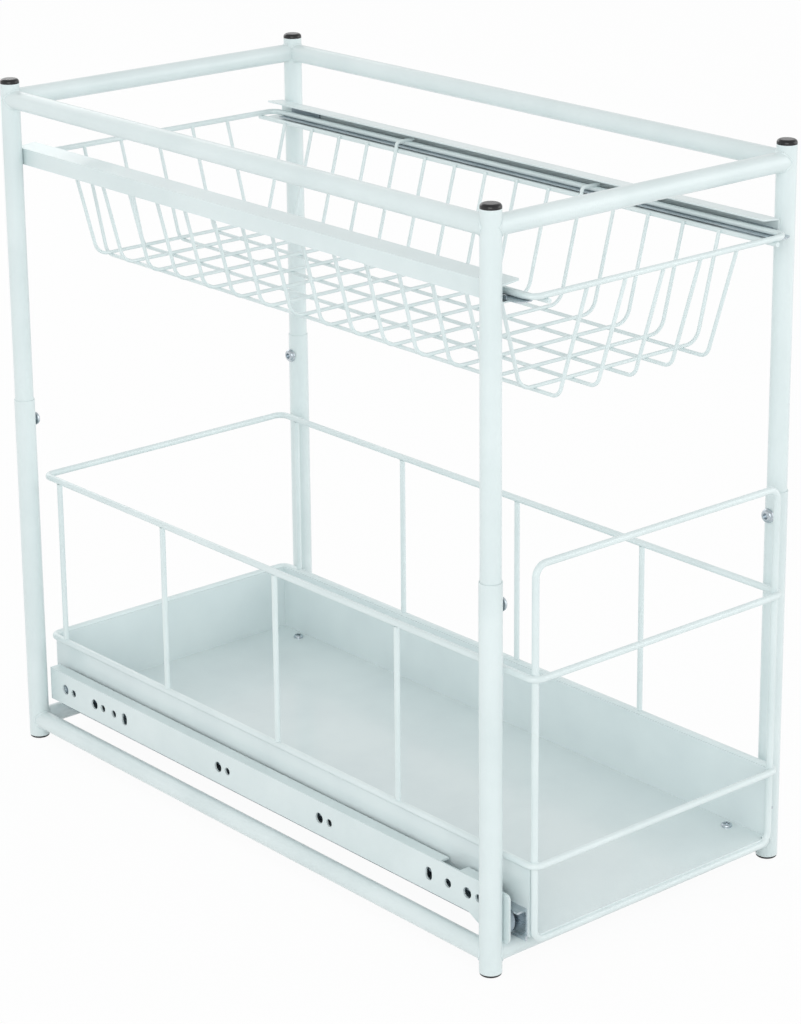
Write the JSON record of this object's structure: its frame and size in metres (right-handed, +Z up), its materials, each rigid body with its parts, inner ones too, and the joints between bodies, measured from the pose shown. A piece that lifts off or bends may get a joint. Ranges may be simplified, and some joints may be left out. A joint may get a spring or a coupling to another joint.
{
  "type": "pull out cabinet basket",
  "caption": "Free-standing cabinet organiser: telescopic tube frame with a pull-out sheet tray and wire gallery on roller runners, and a hanging wire basket that slides on rails above.",
  "frame": {"origin": "middle of the bounding box, on the floor under the feet", "axes": "+X right as seen from the front, +Y to the back, +Z up; both trays pull out towards -Y"},
  "size_m": [0.2318, 0.4596, 0.4298],
  "materials": {
    "white_paint": "glossy cool white powder coat",
    "white_tray": "glossy white enamel on sheet steel",
    "zinc": "bright zinc plate",
    "black_plastic": "moulded, slightly glossy",
    "grey_nylon": "moulded nylon"
  },
  "bodies": {
    "lower_frame": {"lower_post_front_left": "white_paint", "lower_post_front_right": "white_paint", "lower_post_back_left": "white_paint", "lower_post_back_right": "white_paint", "lower_side_tube_left": "white_paint", "lower_side_tube_right": "white_paint", "lower_cross_tube_front": "white_paint", "lower_cross_tube_back": "white_paint", "foot_plugs": "black_plastic", "clamp_screws": "zinc", "cabinet_runner_left": "white_paint", "cabinet_runner_right": "white_paint", "front_roller_rivets": "zinc"},
    "upper_frame": {"upper_post_front_left": "white_paint", "upper_post_front_right": "white_paint", "upper_post_back_left": "white_paint", "upper_post_back_right": "white_paint", "upper_side_tube_left": "white_paint", "upper_side_tube_right": "white_paint", "upper_cross_tube_front": "white_paint", "upper_cross_tube_back": "white_paint", "top_caps": "black_plastic", "upper_rail_left": "white_paint", "upper_rail_right": "white_paint", "rail_glide_left": "grey_nylon", "rail_glide_right": "grey_nylon"},
    "basket": {"basket_rim": "white_paint", "basket_side_wires": "white_paint", "basket_cross_wires": "white_paint", "basket_hanger_wires": "white_paint", "basket_length_wires": "white_paint", "basket_slide_left": "zinc", "basket_slide_right": "zinc", "slide_glide_left": "grey_nylon", "slide_glide_right": "grey_nylon"},
    "drawer": {"tray": "white_tray", "lower_ring": "white_paint", "upper_ring": "white_paint", "front_loop": "white_paint", "side_uprights": "white_paint", "drawer_runner_left": "zinc", "drawer_runner_right": "zinc", "rear_roller_rivets": "zinc", "tray_screws": "zinc"},
    "front_roller_left": {"front_roller_left": "grey_nylon"},
    "front_roller_right": {"front_roller_right": "grey_nylon"},
    "rear_roller_left": {"rear_roller_left": "grey_nylon"},
    "rear_roller_right": {"rear_roller_right": "grey_nylon"}
  },
  "joints": [
    {"name": "height_adjust", "type": "slide", "parent": "lower_frame", "child": "upper_frame", "axis": [0, 0, 1], "range_m": [-0.06, 0.06]},
    {"name": "basket_slide", "type": "slide", "parent": "upper_frame", "child": "basket", "axis": [0, -1, 0], "range_m": [0, 0.3]},
    {"name": "drawer_slide", "type": "slide", "parent": "lower_frame", "child": "drawer", "axis": [0, -1, 0], "range_m": [0, 0.33]},
    {"name": "front_roller_left_spin", "type": "hinge", "parent": "lower_frame", "child": "front_roller_left", "pos_m": [-0.09865, -0.2056, 0.0281], "axis": [1, 0, 0], "range_deg": [0, 2256]},
    {"name": "rear_roller_left_spin", "type": "hinge", "parent": "drawer", "child": "rear_roller_left", "pos_m": [-0.09865, 0.2064, 0.0351], "axis": [1, 0, 0], "range_deg": [0, 2311]},
    {"name": "front_roller_right_spin", "type": "hinge", "parent": "lower_frame", "child": "front_roller_right", "pos_m": [0.09865, -0.2056, 0.0281], "axis": [1, 0, 0], "range_deg": [0, 2256]},
    {"name": "rear_roller_right_spin", "type": "hinge", "parent": "drawer", "child": "rear_roller_right", "pos_m": [0.09865, 0.2064, 0.0351], "axis": [1, 0, 0], "range_deg": [0, 2311]}
  ],
  "couplings": [
    {"joint": "front_roller_left_spin", "follows": "drawer_slide", "rad_per_m": 119.05},
    {"joint": "rear_roller_left_spin", "follows": "drawer_slide", "rad_per_m": 121.95},
    {"joint": "front_roller_right_spin", "follows": "drawer_slide", "rad_per_m": 119.05},
    {"joint": "rear_roller_right_spin", "follows": "drawer_slide", "rad_per_m": 121.95}
  ]
}
